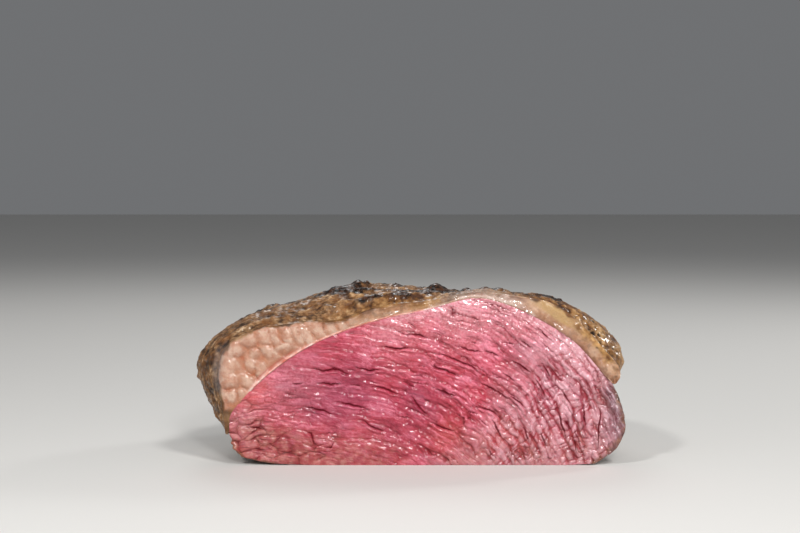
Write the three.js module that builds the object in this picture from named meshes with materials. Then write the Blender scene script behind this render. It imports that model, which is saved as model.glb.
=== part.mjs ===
// Half of a roasted picanha, the rump cap of beef, lying on its lean side with the cut face to the front.
// Two solids: the lean, which is the pink muscle with its cut face and browned underside, and the fat cap,
// which wraps over it from low on the left to a rounded lip on the right and tapers to the tip at the back.
// Millimetres. X runs to the right along the cut, Y away from the cut towards the tip, and Z up.
// The origin is on the underside, at the middle of the roast's bounding box.
import * as THREE from "three";

// Driving dimensions of the roast.
const LEAN_REACH = 112; // from the cut face back to the lean's tip
const FAT_AT_TIP = 5.5; // fat thickness over the tip
const SKIN_GAP = 0.4; // clearance between the lean and the fat cap
const PIVOT_X = 4; // the line of section centres, from which every section tapers
const PIVOT_Z = 19; // and the height of the tip
const TIP_SHIFT = 9; // how far the tip lies to the right of the middle of the cut
const BOX_CENTRE_X = -0.44; // middle of the bounding box, measured from the zero of the outlines below
const BOX_CENTRE_Y = 57.9;

// Taper towards the tip: a share of the cut's size, as (1 - share ** power) ** sharpness.
const WIDTH_TAPER = { power: 2.2, sharpness: 0.5 };
const HEIGHT_TAPER = { power: 3, sharpness: 0.5 };

// Behind the cut the roast swells, because the knife has pressed the cut edge in.
const SWELL_DEPTH = 19; // how far behind the cut the swelling is full
const LEAN_SWELL = { left: 0.115, right: 0.02, up: -0.06 }; // shares by which the lean's section changes
const SWELL_HEIGHTS = { from: 11, full: 26 }; // it swells sideways only above its lower edges
const UNDERSIDE_SINK = 1.8; // how much the roast's own weight flattens its underside

// Outline of the lean at the cut, as [x, z], in four runs that meet at the corners of the cut face.
const LEAN_BOTTOM = [[-66, 3.2], [-56, 1], [-38, 0], [15, 0], [58, 0], [71, 0.6]];
const LEAN_RIGHT = [[71, 0.6], [79, 6.4], [82.3, 13], [82.4, 18.5], [80, 26.5], [77.4, 32]];
const LEAN_TOP = [
  [-70.8, 13], [-70.4, 19.2], [-66.8, 24.4], [-55.4, 35.7], [-38, 47.3], [-14.5, 56.2], [6, 60.6],
  [24, 65], [36, 62.7], [50.8, 55.8], [63.2, 47.6], [73.2, 36.6], [77.4, 32],
];
const LEAN_LEFT = [[-66, 3.2], [-69.2, 7.4], [-70.8, 13]];

// Outer line of the fat, from its lower end on the left to the lip on the right: its edge at the cut,
// and the section it has where the swelling behind the cut is full.
const FAT_EDGE = [
  [-72.4, 12.2], [-73.2, 18.5], [-74, 25], [-75, 34], [-72.6, 45.2], [-62, 52], [-46, 55.2], [-28, 56.6],
  [-12, 61.8], [8, 64.2], [24, 67.4], [42, 65.6], [53, 63.4], [64, 56.2], [74, 45.4], [80, 38],
  [80.6, 34.6], [79.2, 32],
];
const FAT_BEHIND = [
  [-72.8, 11], [-75.2, 15.6], [-78.4, 21], [-81.8, 27], [-83.8, 33], [-83, 41.5], [-72.8, 51], [-50, 60],
  [-24, 66.8], [5, 64.9], [30, 64.2], [42, 63.2], [54, 62.4], [70, 56], [80.8, 46.5], [83, 38], [80.8, 31.6],
];
const LIP_ROUNDING = 0.3; // how far the fat's lips bulge, as a share of their thickness

// Relief of the browned crust: height and length of each size of lump.
const CRUST_LUMPS = [{ height: 1.8, length: 14 }, { height: 1.2, length: 7 }];
const CRUST_STARTS = 5; // depth behind the cut at which the crust's relief is full
const CRUST_LIP_FADE = 0.04; // share of the way round over which it fades into the fat's lips
const CRUST_TURNS = 0.75; // share of the reach from which it begins to face the tip
// Charred flakes that stand up along the ridge of the fat: place, half length, half width and height.
const FLAKES = [
  { x: -21, depth: 19, length: 8, width: 4, height: 1.6 },
  { x: -58, depth: 30, length: 9, width: 5, height: 1.3 },
  { x: -4, depth: 24, length: 7, width: 4, height: 1.4 },
  { x: 10, depth: 15, length: 5, width: 6, height: 3.8 },
  { x: 21, depth: 12, length: 3.5, width: 4, height: 1.6 },
  { x: 29, depth: 9, length: 5, width: 4, height: 1.4 },
  { x: 34, depth: 36, length: 8, width: 5, height: 1.5 },
  { x: 55, depth: 27, length: 7, width: 5, height: 1.2 },
  { x: -38, depth: 52, length: 10, width: 5, height: 1.5 },
  { x: 8, depth: 60, length: 12, width: 5, height: 1.7 },
  { x: 44, depth: 64, length: 8, width: 6, height: 1.4 },
];
const FLAKE_STEEPNESS = 1.6;

// The cut fat stands out in lobes, which are full height left of one x and least right of another.
const LOBES = { height: 2, length: 8, fullAt: -45, leastAt: 10, least: 0.3, layer: 3.3 };
// The cut lean is ribbed by its muscle bundles. They run level on the left, and right of dipFrom they
// follow a curve downwards.
const BUNDLES = { height: 0.9, width: 7, length: 26, dipFrom: -30, dipRadius: 130, layer: 7.7 };

// Number of faces across and up the cut, from the cut to the tip, and through the fat.
const STEPS = { across: 68, up: 18, back: 16, through: 6 };
const ROW_CROWDING = 0.62; // how much closer the rows lie at the cut and at the tip
const EDGE_STEPS = 3; // faces over which the bundles fade towards the edges of the cut

const COLOURS = { lean: 0xbe5f6b, fat: 0xa98455 };

const mix = THREE.MathUtils.lerp;
const smooth = THREE.MathUtils.smoothstep;

// A repeatable value from -1 to 1 for one corner of the noise lattice.
function cornerValue(i, j, k) {
  let h = Math.imul(i, 0x8da6b343) ^ Math.imul(j, 0xd8163841) ^ Math.imul(k, 0xcb1ab31f);
  h = Math.imul(h ^ (h >>> 13), 0x5bd1e995);
  h ^= h >>> 15;
  return (h >>> 0) / 0x7fffffff - 1;
}

// Smooth noise from -1 to 1.
function noise(x, y, z) {
  const cell = [x, y, z].map(Math.floor);
  const ease = [x, y, z].map((v, n) => smooth(v - cell[n], 0, 1));
  let sum = 0;
  for (let corner = 0; corner < 8; corner++) {
    const step = [corner & 1, (corner >> 1) & 1, corner >> 2];
    const weight = step.reduce((w, s, n) => w * (s ? ease[n] : 1 - ease[n]), 1);
    sum += weight * cornerValue(cell[0] + step[0], cell[1] + step[1], cell[2] + step[2]);
  }
  return sum;
}

// A smooth line through [x, z] points, read at a share of its length.
function smoothLine(points) {
  const corners = points.map(([x, z]) => new THREE.Vector3(x, 0, z));
  const curve = new THREE.CatmullRomCurve3(corners, false, "centripetal");
  return (share) => curve.getPointAt(share);
}

const leanBottom = smoothLine(LEAN_BOTTOM);
const leanRight = smoothLine(LEAN_RIGHT);
const leanTop = smoothLine(LEAN_TOP);
const leanLeft = smoothLine(LEAN_LEFT);
const fatEdge = smoothLine(FAT_EDGE);
const fatBehind = smoothLine(FAT_BEHIND);

// How far the swelling behind the cut has come on, from 0 at the cut to 1.
const swelling = (depth) => Math.sin((Math.PI / 2) * Math.min(1, depth / SWELL_DEPTH));

const taper = (share, { power, sharpness }) => Math.max(0, 1 - share ** power) ** sharpness;

// Carries a point of the section at the cut back by a share of the body's reach.
function inSection(x, z, share, reach) {
  const wide = taper(share, WIDTH_TAPER);
  const high = taper(share, HEIGHT_TAPER);
  const sink = UNDERSIDE_SINK * smooth(share * reach, 0, SWELL_DEPTH) * Math.max(0, 1 - z / PIVOT_Z);
  return new THREE.Vector3(
    PIVOT_X + TIP_SHIFT * share ** 2 + wide * (x - PIVOT_X),
    share * reach,
    Math.max(0, PIVOT_Z + high * (z - PIVOT_Z) - sink),
  );
}

// The lean's surface, or one that keeps a gap to it, for a point of its outline at the cut.
function leanPoint(outline, share, gap = new THREE.Vector3()) {
  const swell = swelling(share * LEAN_REACH);
  const sideways = outline.x > PIVOT_X ? LEAN_SWELL.right : LEAN_SWELL.left;
  const wider = 1 + sideways * smooth(outline.z, SWELL_HEIGHTS.from, SWELL_HEIGHTS.full) * swell;
  const higher = 1 + (outline.z > PIVOT_Z ? LEAN_SWELL.up : 0) * swell;
  const x = PIVOT_X + wider * (outline.x - PIVOT_X) + gap.x;
  const z = PIVOT_Z + higher * (outline.z - PIVOT_Z) + gap.z;
  return inSection(x, z, share, LEAN_REACH + gap.length());
}

// Unit vector along a line at a share of its length.
function along(line, share) {
  const step = 0.004;
  return line(Math.min(1, share + step)).sub(line(Math.max(0, share - step))).normalize();
}

// Unit vector in the section plane across a line, to its outer side.
function outward(line, share) {
  const ahead = along(line, share);
  return new THREE.Vector3(-ahead.z, 0, ahead.x);
}

// Unit vector in the section plane from the line of centres to a point.
const fromPivot = (p) => new THREE.Vector3(p.x - PIVOT_X, 0, p.z - PIVOT_Z).normalize();

// Height of the lumps of the crust, which stand out from the smooth surface.
function lumpHeight(p) {
  const lumps = CRUST_LUMPS.map(
    ({ height, length }) => height * (0.5 + 0.5 * noise(p.x / length, p.y / length, p.z / length)),
  );
  return lumps.reduce((sum, h) => sum + h, 0);
}

// Height of the charred flakes over a place on the upper side.
function flakeHeight(p) {
  const flakes = FLAKES.map(({ x, depth, length, width, height }) => {
    const away = ((p.x - x) / length) ** 2 + ((p.y - depth) / width) ** 2;
    return height * Math.exp(-FLAKE_STEEPNESS * away);
  });
  return flakes.reduce((sum, h) => sum + h, 0) * smooth(p.z, PIVOT_Z, 2 * PIVOT_Z);
}

// The outer surface of the fat cap, with its crust.
function fatOutside(around, share) {
  const reach = LEAN_REACH + FAT_AT_TIP;
  const outline = fatEdge(around).lerp(fatBehind(around), swelling(share * reach));
  const p = inSection(outline.x, outline.z, share, reach);
  const tip = smooth(share, CRUST_TURNS, 1);
  const direction = outward(fatBehind, around).lerp(new THREE.Vector3(0, 1, 0), tip).normalize();
  const fade = smooth(p.y, 0, CRUST_STARTS) * smooth(Math.min(around, 1 - around), 0, CRUST_LIP_FADE);
  return p.addScaledVector(direction, (lumpHeight(p) + flakeHeight(p)) * fade);
}

// How far the cut fat bulges to the front in rounded lobes, most in its thick left part.
function lobeHeight(p) {
  const lobe = 0.5 + 0.5 * noise(p.x / LOBES.length, LOBES.layer, p.z / LOBES.length);
  return LOBES.height * lobe * mix(1, LOBES.least, smooth(p.x, LOBES.fullAt, LOBES.leastAt));
}

// How far the muscle bundles stand out on the cut lean.
function bundleHeight(p) {
  const dip = Math.max(0, p.x - BUNDLES.dipFrom) ** 2 / (2 * BUNDLES.dipRadius);
  return BUNDLES.height * noise(p.x / BUNDLES.length, BUNDLES.layer, (p.z + dip) / BUNDLES.width);
}

// Builds a closed geometry from named points and four-sided faces.
function surface() {
  const positions = [];
  const indices = [];
  const known = new Map();
  return {
    vertex(name, make) {
      if (!known.has(name)) {
        const p = make();
        known.set(name, positions.length / 3);
        positions.push(p.x - BOX_CENTRE_X, p.y - BOX_CENTRE_Y, p.z);
      }
      return known.get(name);
    },
    quad(a, b, c, d) {
      [[a, b, c], [a, c, d]].forEach((face) => {
        if (new Set(face).size === 3) indices.push(...face);
      });
    },
    geometry() {
      const made = new THREE.BufferGeometry();
      made.setAttribute("position", new THREE.Float32BufferAttribute(positions, 3));
      made.setIndex(indices);
      made.computeVertexNormals();
      return made;
    },
  };
}

// Share of the reach for a row of points. The rows lie closest at the cut and at the tip.
function rowShare(row) {
  const even = row / STEPS.back;
  return mix(even, smooth(even, 0, 1), ROW_CROWDING);
}

// A point of the cut face, blended from its four edges, with the bundles standing out inside them.
function cutPoint(i, j) {
  const { across, up } = STEPS;
  const [u, v] = [i / across, j / up];
  const upright = leanLeft(v).lerp(leanRight(v), u);
  const level = leanBottom(u).lerp(leanTop(u), v);
  const corners = leanBottom(0).lerp(leanTop(0), v).lerp(leanBottom(1).lerp(leanTop(1), v), u);
  const p = level.add(upright).sub(corners);
  p.y -= bundleHeight(p) * smooth(Math.min(i, across - i, j, up - j), 0, EDGE_STEPS);
  p.z = Math.max(0, p.z);
  return p;
}

// The lean: a grid over the cut face, and rings of its outline back to the tip.
function leanGeometry() {
  const { across, up, back } = STEPS;
  const solid = surface();
  const cut = (i, j) => solid.vertex(`cut ${i} ${j}`, () => cutPoint(i, j));
  // The cut's grid points in order round its outline: bottom, right, top and left.
  const ring = [];
  for (let i = 0; i < across; i++) ring.push([i, 0]);
  for (let j = 0; j < up; j++) ring.push([across, j]);
  for (let i = across; i > 0; i--) ring.push([i, up]);
  for (let j = up; j > 0; j--) ring.push([0, j]);
  // The bare sides under the fat's lips are browned and lumpy too.
  const sidePoint = (i, j, row) => {
    const outline = cutPoint(i, j);
    const p = leanPoint(outline, rowShare(row));
    const bare = i === 0 || i === across ? Math.sin((Math.PI * j) / up) : 0;
    return p.addScaledVector(fromPivot(outline), -lumpHeight(p) * bare * smooth(p.y, 0, CRUST_STARTS));
  };
  const side = (n, row) => {
    const [i, j] = ring[n % ring.length];
    if (row === 0) return cut(i, j);
    if (row === back) return solid.vertex("tip", () => leanPoint(leanTop(0), 1));
    return solid.vertex(`side ${i} ${j} ${row}`, () => sidePoint(i, j, row));
  };
  for (let i = 0; i < across; i++)
    for (let j = 0; j < up; j++) solid.quad(cut(i, j), cut(i + 1, j), cut(i + 1, j + 1), cut(i, j + 1));
  for (let n = 0; n < ring.length; n++)
    for (let row = 0; row < back; row++)
      solid.quad(side(n, row), side(n, row + 1), side(n + 1, row + 1), side(n + 1, row));
  return solid.geometry();
}

// The fat cap: a thick sheet, whose inner and outer faces join at the cut, along both lips and at the tip.
// Its inner face follows the lean's own grid, so that the gap between them stays open.
function fatGeometry() {
  const { across, through, back } = STEPS;
  const solid = surface();
  const sheetPoint = (a, b, row) => {
    const [around, share] = [a / across, rowShare(row)];
    const gap = outward(leanTop, around).multiplyScalar(SKIN_GAP);
    const [inside, outside] = [leanPoint(leanTop(around), share, gap), fatOutside(around, share)];
    const bulge = Math.sin((Math.PI * b) / through);
    const p = inside.clone().lerp(outside, b / through);
    if (a === 0 || a === across) {
      const lip = LIP_ROUNDING * bulge * inside.distanceTo(outside) * (a === 0 ? -1 : 1);
      p.addScaledVector(along(leanTop, around), lip);
    }
    if (row === 0) p.y -= lobeHeight(p) * bulge;
    return p;
  };
  const at = (a, b, row) =>
    row === back
      ? solid.vertex(`tip ${b}`, () => sheetPoint(0, b, back))
      : solid.vertex(`${a} ${b} ${row}`, () => sheetPoint(a, b, row));
  const top = through;
  for (let a = 0; a < across; a++)
    for (let row = 0; row < back; row++) {
      solid.quad(at(a, top, row), at(a + 1, top, row), at(a + 1, top, row + 1), at(a, top, row + 1));
      solid.quad(at(a + 1, 0, row), at(a, 0, row), at(a, 0, row + 1), at(a + 1, 0, row + 1));
    }
  for (let b = 0; b < through; b++) {
    for (let a = 0; a < across; a++)
      solid.quad(at(a, b, 0), at(a + 1, b, 0), at(a + 1, b + 1, 0), at(a, b + 1, 0));
    for (let row = 0; row < back; row++) {
      const next = row + 1;
      solid.quad(at(0, b, row), at(0, b + 1, row), at(0, b + 1, next), at(0, b, next));
      solid.quad(at(across, b, row), at(across, b, next), at(across, b + 1, next), at(across, b + 1, row));
    }
  }
  return solid.geometry();
}

function piece(name, geometry, color, roughness) {
  const mesh = new THREE.Mesh(geometry, new THREE.MeshStandardMaterial({ color, roughness, metalness: 0 }));
  mesh.name = name;
  return mesh;
}

const picanha = new THREE.Group();
picanha.name = "picanha";
picanha.add(piece("lean", leanGeometry(), COLOURS.lean, 0.4));
picanha.add(piece("fat_cap", fatGeometry(), COLOURS.fat, 0.5));

export default picanha;
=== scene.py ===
import math

import bpy
import numpy as np
from mathutils import Euler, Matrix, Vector


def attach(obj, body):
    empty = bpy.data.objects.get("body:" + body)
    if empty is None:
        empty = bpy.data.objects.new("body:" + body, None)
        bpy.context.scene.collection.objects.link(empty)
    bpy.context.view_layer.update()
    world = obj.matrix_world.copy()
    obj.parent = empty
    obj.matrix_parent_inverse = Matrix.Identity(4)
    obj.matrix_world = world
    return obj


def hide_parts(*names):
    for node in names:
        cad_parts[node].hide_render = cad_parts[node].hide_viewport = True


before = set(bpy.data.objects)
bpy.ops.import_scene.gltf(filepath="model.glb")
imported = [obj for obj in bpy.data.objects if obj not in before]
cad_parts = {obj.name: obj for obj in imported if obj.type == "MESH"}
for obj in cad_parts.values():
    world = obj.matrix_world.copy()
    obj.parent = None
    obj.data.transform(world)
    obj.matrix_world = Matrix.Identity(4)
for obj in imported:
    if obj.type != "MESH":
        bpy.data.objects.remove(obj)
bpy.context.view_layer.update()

MM = 0.001

# Half of a roasted picanha, in millimetres: X along the cut, Y from the cut to the tip, Z up.
# The form is that of the solids. The relief, the fibres and the crust are added here.
LEAN_REACH = 112.0  # from the cut face back to the lean's tip
FAT_AT_TIP = 5.5
SKIN_GAP = 0.4
PIVOT_X, PIVOT_Z = 4.0, 19.0
TIP_SHIFT = 9.0
BOX_CENTRE_X, BOX_CENTRE_Y = -0.44, 57.9
WIDTH_TAPER = (2.2, 0.5)
HEIGHT_TAPER = (3.0, 0.5)
SWELL_DEPTH = 19.0
LEAN_SWELL = {"left": 0.115, "right": 0.02, "up": -0.06}
SWELL_HEIGHTS = (11, 26)  # between which the lean begins to swell sideways
UNDERSIDE_SINK = 1.8
LIP_ROUNDING = 0.3
LINE_STEP = 0.004  # share of a line over which its direction is read

LEAN_BOTTOM = [(-66, 3.2), (-56, 1), (-38, 0), (15, 0), (58, 0), (71, 0.6)]
LEAN_RIGHT = [(71, 0.6), (79, 6.4), (82.3, 13), (82.4, 18.5), (80, 26.5), (77.4, 32)]
LEAN_TOP = [
    (-70.8, 13), (-70.4, 19.2), (-66.8, 24.4), (-55.4, 35.7), (-38, 47.3), (-14.5, 56.2), (6, 60.6),
    (24, 65), (36, 62.7), (50.8, 55.8), (63.2, 47.6), (73.2, 36.6), (77.4, 32),
]
LEAN_LEFT = [(-66, 3.2), (-69.2, 7.4), (-70.8, 13)]
FAT_EDGE = [
    (-72.4, 12.2), (-73.2, 18.5), (-74, 25), (-75, 34), (-72.6, 45.2), (-62, 52), (-46, 55.2), (-28, 56.6),
    (-12, 61.8), (8, 64.2), (24, 67.4), (42, 65.6), (53, 63.4), (64, 56.2), (74, 45.4), (80, 38),
    (80.6, 34.6), (79.2, 32),
]
FAT_BEHIND = [
    (-72.8, 11), (-75.2, 15.6), (-78.4, 21), (-81.8, 27), (-83.8, 33), (-83, 41.5), (-72.8, 51), (-50, 60),
    (-24, 66.8), (5, 64.9), (30, 64.2), (42, 63.2), (54, 62.4), (70, 56), (80.8, 46.5), (83, 38),
    (80.8, 31.6),
]

# Relief that the solids have too.
CRUST_LUMPS = [(1.8, 14.0), (1.2, 7.0)]  # height and length
CRUST_STARTS = 5.0
CRUST_LIP_FADE = 0.04
CRUST_TURNS = 0.75
FLAKES = [  # x, depth, half length, half width and height
    (-21, 19, 8, 4, 1.6), (-58, 30, 9, 5, 1.3), (-4, 24, 7, 4, 1.4), (10, 15, 5, 6, 3.8),
    (21, 12, 3.5, 4, 1.6), (29, 9, 5, 4, 1.4), (34, 36, 8, 5, 1.5), (55, 27, 7, 5, 1.2),
    (-38, 52, 10, 5, 1.5), (8, 60, 12, 5, 1.7), (44, 64, 8, 6, 1.4),
]
FLAKE_STEEPNESS = 1.6
LOBES = {"height": 2.0, "length": 8.0, "full_at": -45.0, "least_at": 10.0, "least": 0.3, "layer": 3.3}
BUNDLES = {"height": 0.9, "width": 7.0, "length": 26.0, "dip_from": -30.0, "dip_radius": 130.0, "layer": 7.7}
CAD_ACROSS, CAD_UP, CAD_EDGE_STEPS = 68, 18, 3
ROW_CROWDING = 0.62

# Number of faces of the fine meshes.
CUT_ACROSS, CUT_UP = 456, 178
SIDE_ACROSS, SIDE_UP, SIDE_ROWS = 96, 38, 50
FAT_AROUND, FAT_THROUGH, FAT_ROWS = 400, 32, 148
FAT_INNER, FAT_LIP = 80, 12
LIP_STEPS = np.arange(1, FAT_LIP)[None, :, None] / FAT_LIP

# Direction of the grain on the cut, as x, z and degrees below level to the right.
GRAIN = [
    (-70, 18, 0), (-51, 14, 3), (-55, 37, 5), (-32, 49, 8), (-28, 26, 8), (-32, 6, 10), (-5, 57, 12),
    (-5, 37, 15), (3, 10, 34), (15, 53, 18), (22, 64, 15), (34, 37, 35), (26, 14, 42), (50, 53, 38),
    (57, 30, 50), (50, 10, 65), (69, 26, 75), (77, 10, 82),
]
GRAIN_BLUR = 9.0  # millimetres over which one direction gives way to the next
GRAIN_STEP = 2.0  # between the points at which the grain is solved
GRAIN_ROUNDS = 250
RASTER = 0.25  # between the points at which the depth of the cracks is kept
LEFT, RIGHT, BOTTOM, TOP = -86.0, 92.0, -6.0, 76.0

# The long cracks of the cut lean, each as x and z of its points in turn.
CRACK_LINES = [
    (17, 56, 21, 56), (23, 57.5, 25.5, 56), (-5, 52, 3, 50.5, 9, 48.5), (16, 47.5, 22, 45, 29, 44),
    (35, 48.5, 40.5, 47), (41, 49, 47, 45), (37.5, 41.5, 43.5, 38, 47, 35),
    (3.5, 45, 12, 43, 17.5, 41, 23, 38.5, 26.5, 35.5, 30, 33), (6, 39.5, 13.5, 36.5, 17.5, 35, 21.5, 34),
    (-4.5, 32.5, 0, 31.5), (7.5, 31, 13.5, 28, 20, 26), (34, 36.5, 41.5, 32.5), (35.5, 29.5, 41.5, 25.5),
    (50, 40.5, 54, 33), (49.5, 52, 54, 48.5), (28.5, 45, 35, 42), (-14, 46.5, -7.5, 45.5, 3, 45.5),
    (-2.5, 56, 2.5, 53), (-7, 52.5, -1.5, 50.5),
    (-42, 38, -38, 38, -34, 37, -30.5, 37.2, -26.5, 36.5, -20.5, 34), (-23, 38.5, -17, 37, -11, 37.2),
    (-47.5, 32, -40.5, 32), (-38, 32.2, -32, 31.5, -25, 31.8), (-24.5, 31.8, -18.5, 30.5),
    (-17.5, 31, -11, 30, -3, 27), (-49.5, 28, -44.5, 27.5), (-4, 32, 2.5, 30),
    (-63.5, 15, -59.5, 14.8, -56, 13.5), (-42.5, 22.5, -37, 21.8, -31.5, 20.3, -28.5, 19.5),
    (-31.5, 24.5, -25, 24, -19.5, 22.5, -14.5, 20.5), (-56, 9, -53, 6.8),
    (-42, 13.5, -39, 12.5, -38, 8.5, -36, 7.8), (-35, 7.8, -31.5, 6.8, -30, 10),
    (-20.5, 18, -14, 14.5, -9, 13), (26, 36, 29.5, 34.5), (37, 28, 40.5, 25.5, 44.5, 21.5),
    (22.5, 24, 27.5, 22.5, 30.5, 21.3, 35.5, 18), (25, 18.5, 30.5, 15), (29, 7.5, 33, 2),
    (57.5, 18.5, 60.5, 15.5, 61.5, 12.8), (63, 10.5, 64, 4), (71.5, 26, 73, 20.5, 72.3, 15, 72.3, 4),
    (49, 13.5, 52.5, 6), (51, 36, 53.5, 32), (58, 30, 62, 22), (66, 24, 67.5, 14), (43, 16, 46, 8),
    (-1.5, 28.2, 2.5, 23, 6.5, 19), (5.5, 18, 12, 14.6, 18, 13), (23, 33.8, 29, 31, 35, 27.6, 41, 23.5),
    (47, 35, 50, 30, 52.5, 25), (56, 24, 58, 16, 60, 9), (30, 19, 33.5, 13.5, 36, 8.5),
]
CRACK_SIZE = (0.28, 1.3)  # half width and depth at the middle of a long crack
SHORT_CRACK, SHORT_AND_LONG = 0.75, (3, 12)  # a short crack's share of that size, and the two lengths
CRACK_END = 0.45  # width near the ends, as a share
WOBBLES = ((2.6, 1.0), (0.9, 0.4))  # length and share of the two waves of a crack
TRACE_WANDER = 0.22  # radians that a small crack turns at each millimetre
CRACK_SEED = 11

# Smaller cracks: number, x and z range, length, half width and depth, and turn from the grain in degrees.
SMALL_CRACKS = [
    (150, (-68, 60), (3, 62), (4, 13), (0.22, 0.32), (0.25, 0.7), 0),
    (60, (10, 62), (20, 62), (6, 16), (0.2, 0.3), (0.3, 0.8), 0),
    (60, (30, 80), (2, 46), (5, 14), (0.2, 0.3), (0.3, 0.8), 0),
    (60, (34, 80), (2, 40), (1.2, 2.6), (0.22, 0.32), (0.3, 0.7), 90),
    (24, (-68, 0), (3, 30), (1.5, 4), (0.22, 0.3), (0.3, 0.6), 60),
]

# Soft lobes of the cut fat: middle x, z, half length, half width, and degrees that they are turned.
FAT_LOBES = [
    (-68.6, 44.0, 3.6, 2.6, 10), (-69.4, 38.5, 4.6, 3.8, 80), (-62.2, 39.0, 4.4, 2.2, -75),
    (-59.6, 35.8, 3.8, 1.9, -70), (-70.5, 32.4, 4.8, 3.0, 5), (-64.0, 32.0, 3.4, 2.8, -20),
    (-70.6, 26.6, 4.2, 2.8, 10), (-66.6, 27.6, 3.0, 2.2, 0), (-63.0, 48.6, 3.8, 2.8, 20),
    (-57.6, 49.8, 5.2, 2.7, -62), (-53.2, 50.2, 5.6, 2.5, -66), (-48.9, 49.8, 5.4, 2.4, -62),
    (-44.9, 50.6, 4.6, 2.3, -60), (-41.0, 50.4, 4.4, 2.6, -52), (-55.6, 44.4, 5.0, 2.6, -38),
    (-60.6, 42.8, 4.0, 2.2, 40), (-50.0, 45.6, 4.6, 2.2, 22), (-36.6, 52.0, 4.6, 2.6, -50),
    (-32.0, 53.4, 4.2, 2.3, -56), (-27.2, 54.2, 3.8, 2.2, -60), (-22.6, 55.8, 3.8, 2.2, -60),
]

# Charred patches of the crust: x, depth, half length and half width.
CHAR_PATCHES = [
    (-31, 18, 8, 5), (-20, 13, 9, 3.5), (-16, 5, 6, 1.8), (-4, 6, 5, 2), (0, 12, 8, 3), (8, 9, 6, 3),
    (12, 16, 6, 6), (20, 13, 5, 4), (31, 10, 5, 2.5), (-24, 30, 8, 6), (-54, 30, 9, 4), (-43, 24, 5, 3),
    (40, 24, 7, 3), (56, 26, 6, 4), (-68, 26, 5, 4), (66, 40, 7, 6), (-14, 44, 9, 5), (20, 40, 8, 4),
]

# Patches of colour on the cut lean: x, z, radius and strength.
SHRED = (-67.5, 5.2, 1.9, 1.0)
SHRED_HEIGHT = 1.2
PATCHES = {
    "pale": [
        (20, 62, 14, 0.8), (-8, 56, 12, 0.5), (44, 56, 12, 0.6), (66, 42, 9, 0.6), (75, 34, 5, 0.8),
        (-66, 17, 6, 0.5), (-52, 34, 16, 0.3),
    ],
    "tan": [
        (78, 26, 7, 0.8), (70, 6, 9, 0.6), (22, 0, 14, 0.7), (-14, 0, 12, 0.7), (-62, 5, 12, 1.0),
        (-48, 2, 11, 1.0), (-30, 0, 11, 0.8), (50, 1, 11, 0.7), (-66, 14, 8, 0.6),
    ],
    "purple": [
        (-24, 29, 13, 1.0), (-44, 36, 10, 0.7), (-36, 22, 8, 0.7), (4, 26, 9, 0.7), (44, 46, 7, 0.6),
        (-4, 12, 9, 0.5),
    ],
    "coral": [
        (-59, 30, 5, 0.5), (-63, 25, 5, 0.4), (-67, 4.5, 2.5, 1.0), SHRED, (14, 12, 7, 0.5), (36, 13, 7, 0.5),
    ],
    "grey": [(81, 24, 7, 1.0), (79, 29, 5, 0.7), (80, 14, 6, 0.8)],
}
LEAN_FIELDS = ["along", "across", "crack", "swell", "cobble", "tone", *PATCHES, "brown"]
FAT_FIELDS = [
    "crust", "lobe", "skin", "fold", "left", "seam", "yellow", "grey", "cloudy", "char", "streak", "streaky",
    "pit", "around_mm", "depth_mm", "gold",
]

# Texture of the cut lean. Cells have a length along the grain and a width across it.
BUNDLE_CELL, STRAND_CELL, NODULE_CELL, CRUMB_CELL = (30, 5.4), (15, 3.0), (2.9, 3.1), (7.5, 4.2)
CELL_SCATTER = 0.42
FAR = 9.0  # more cells away than any nearest one
COLUMN_SHIFT = 5
CRACK_LIP = (0.4, 1.1)  # from a crack down to the raised flesh beside it

# The fat cap.
FRONT_OVERLAP = 0.25  # of the cut fat over the lean's edge
CRUST_ARC = 230.0  # the crust's length round the cut
LIP_WAVES = 76.0  # noise waves round the cut, at the ragged edge between crust and bare fat
INSIDE_POINT = (PIVOT_X, 60.0, PIVOT_Z)  # from which the crust faces away
LIP_CRUST = {"right": 0.15, "left": 0.8}
CRUST_BREAK, CRUST_PEBBLE, CRUST_PIT = (5.0, 3.6), (4.2, 3.2), (2.4, 2.4)  # cells, round the cut and deep
FRONT_PIT = (1.9, 1.9)
NEAR_END, NO_DROP, BARE_END = (0.8, 0.9), (0.88, 0.94), (0.945, 0.98)  # shares of the way round
CLOUDY_FRONT, CLOUDY_CRUST = [(24, 66, 12, 1.0), (36, 64, 8, 0.8)], [(26, 1, 12, 1.0)]
GOLDEN_CRUST = [(-4, 2, 22, 0.9), (60, 8, 26, 0.9)]

# The studio, in metres.
CAMERA_PLACE = (-0.00421, -0.7849, 0.1204)
CAMERA_TILT = 3.4  # degrees below level
LENS, SENSOR = 85, 36
LIT_POINT = (0, -0.03, 0.035)
LIGHTS = [  # name, place, size and watts
    ("key", (0.35, -0.8, 0.9), 0.2, 5.8), ("sheen", (0.1, -0.95, 0.5), 0.45, 2.5),
    ("spark", (0.12, -0.95, 0.42), 0.1, 3), ("glint", (-0.45, -0.75, 0.8), 0.12, 4),
    ("fill", (-0.9, -0.8, 0.4), 0.6, 1), ("back", (-0.1, 0.7, 0.8), 0.5, 2),
    ("rim", (0.75, 0.45, 0.5), 0.15, 2),
]
SKY, SKY_STRENGTH = (0.8, 0.82, 0.85, 1), 0.2
FLOOR_SIZE, FLOOR_COLOUR, FLOOR_ROUGHNESS = 6, (214, 212, 208), 0.7


def mix(a, b, share):
    return a + (b - a) * share


def smooth(value, low, high):
    t = np.clip((value - low) / (high - low), 0.0, 1.0)
    return t * t * (3 - 2 * t)


def fading(value, low, high):
    return 1 - smooth(value, low, high)


def bell(away):
    return np.exp(-(away**2))


def from_ends(share):
    return np.minimum(share, 1 - share)


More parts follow.
